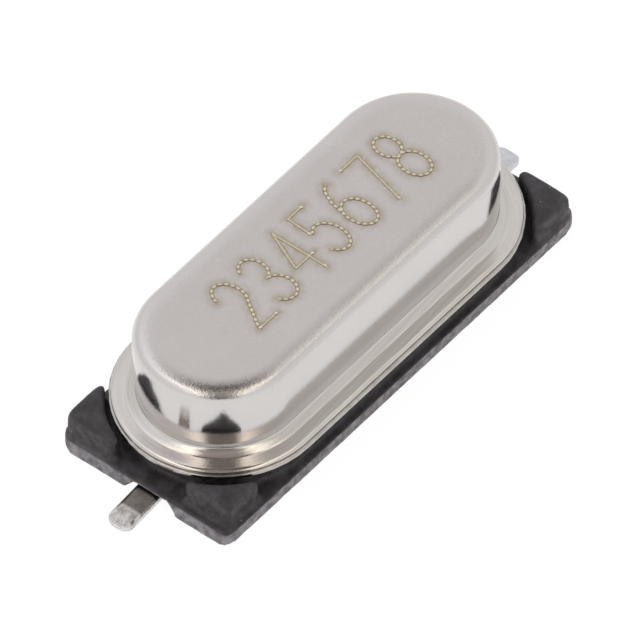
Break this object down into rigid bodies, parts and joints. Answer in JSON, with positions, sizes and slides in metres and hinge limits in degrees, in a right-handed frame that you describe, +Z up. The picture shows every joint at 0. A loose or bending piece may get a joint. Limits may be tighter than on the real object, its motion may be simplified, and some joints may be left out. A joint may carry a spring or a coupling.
{
  "type": "quartz crystal",
  "caption": "Low surface-mount quartz crystal: a round-ended drawn metal can welded to its header, on a black moulded insulator with two flattened leads",
  "frame": {"origin": "on the board plane, midway between the two lead wires", "axes": "+Z up from the board, +X along the can toward the lead with the shorter foot, +Y toward the rear"},
  "size_m": [0.0131, 0.0046, 0.0028],
  "materials": {
    "insulator": "moulded heat-resistant black plastic, matt and slightly mottled",
    "header": "nickel-plated steel, bright rim",
    "seal_glass": "dark fused seal glass",
    "lead": "tinned sealing-alloy wire, pressed flat, bright sheared tip",
    "can": "nickel-plated, satin top and polished drawn wall",
    "clip": "plain nickel strip",
    "quartz": "clear, lapped and etched",
    "electrode": "vapour-deposited silver",
    "cement": "silver-filled cement, dull grey"
  },
  "bodies": {
    "root": {"insulator_base": "insulator", "header": "header", "glass_bead_left": "seal_glass", "glass_bead_right": "seal_glass", "lead_left": "lead", "lead_right": "lead", "can": "can", "support_clip_left": "clip", "support_clip_right": "clip", "quartz_blank": "quartz", "electrode_upper": "electrode", "electrode_lower": "electrode", "cement_left": "cement", "cement_right": "cement"}
  },
  "joints": []
}
